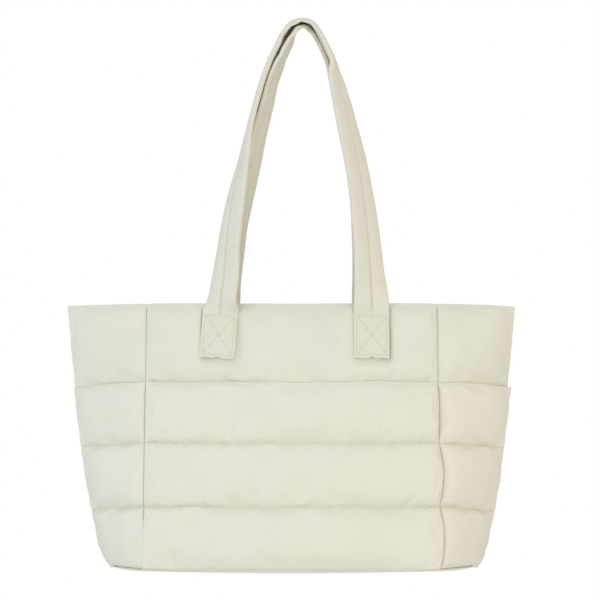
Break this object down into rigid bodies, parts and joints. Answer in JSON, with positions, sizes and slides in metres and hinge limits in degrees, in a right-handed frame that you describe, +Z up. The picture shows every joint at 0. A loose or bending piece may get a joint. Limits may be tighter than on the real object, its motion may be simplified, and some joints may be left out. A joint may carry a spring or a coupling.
{
  "type": "puffer tote bag",
  "caption": "Quilted puffer tote bag with long shoulder straps, a folded gusset at each side and slip pockets round the front and sides, hanging by its straps.",
  "frame": {"origin": "under the top of the arch of the two straps, between them, where a hook or a hand holds the bag", "axes": "+Z up, -Y the way the front panel faces, +X to the right as seen from the front"},
  "size_m": [0.4798, 0.1758, 0.5824],
  "materials": {
    "shell": "soft matt woven nylon over padding, cream",
    "pocket": "soft matt woven nylon over padding, cream",
    "strap": "folded woven nylon with stitched lines, cream"
  },
  "bodies": {
    "root": {"front_panel": "shell", "back_panel": "shell", "right_gusset": "shell", "left_gusset": "shell", "base_panel": "shell", "front_pocket": "pocket", "right_pocket": "pocket", "left_pocket": "pocket", "front_strap": "strap", "back_strap": "strap"}
  },
  "joints": []
}
